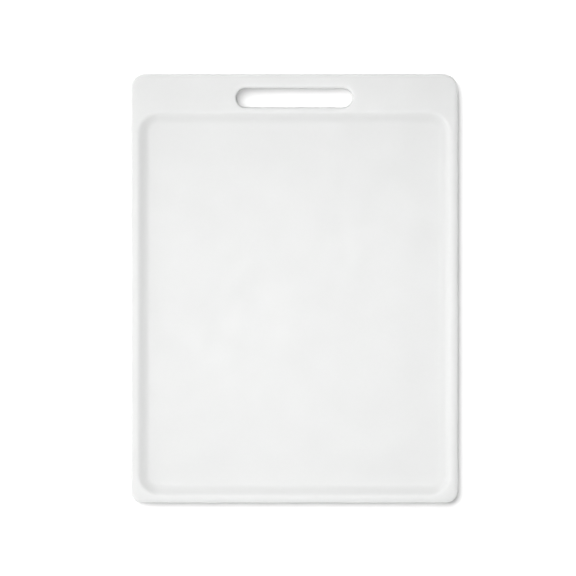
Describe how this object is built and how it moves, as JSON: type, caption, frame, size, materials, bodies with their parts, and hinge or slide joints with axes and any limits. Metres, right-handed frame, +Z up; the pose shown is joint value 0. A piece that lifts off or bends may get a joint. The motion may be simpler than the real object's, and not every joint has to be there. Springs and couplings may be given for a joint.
{
  "type": "cutting board",
  "caption": "Flat rectangular plastic cutting board with a wide shallow well, a rounded raised rim on three sides and a long hand slot through the broad land at one end.",
  "frame": {"origin": "middle of the flat underside, the face that the board lies on", "axes": "+X across the board, +Y along it towards the hand slot, +Z up out of the well"},
  "size_m": [0.28, 0.367, 0.01],
  "materials": {
    "white_polyethylene": "satin white, slightly translucent, with a fine moulded texture"
  },
  "bodies": {
    "root": {"board": "white_polyethylene"}
  },
  "joints": []
}
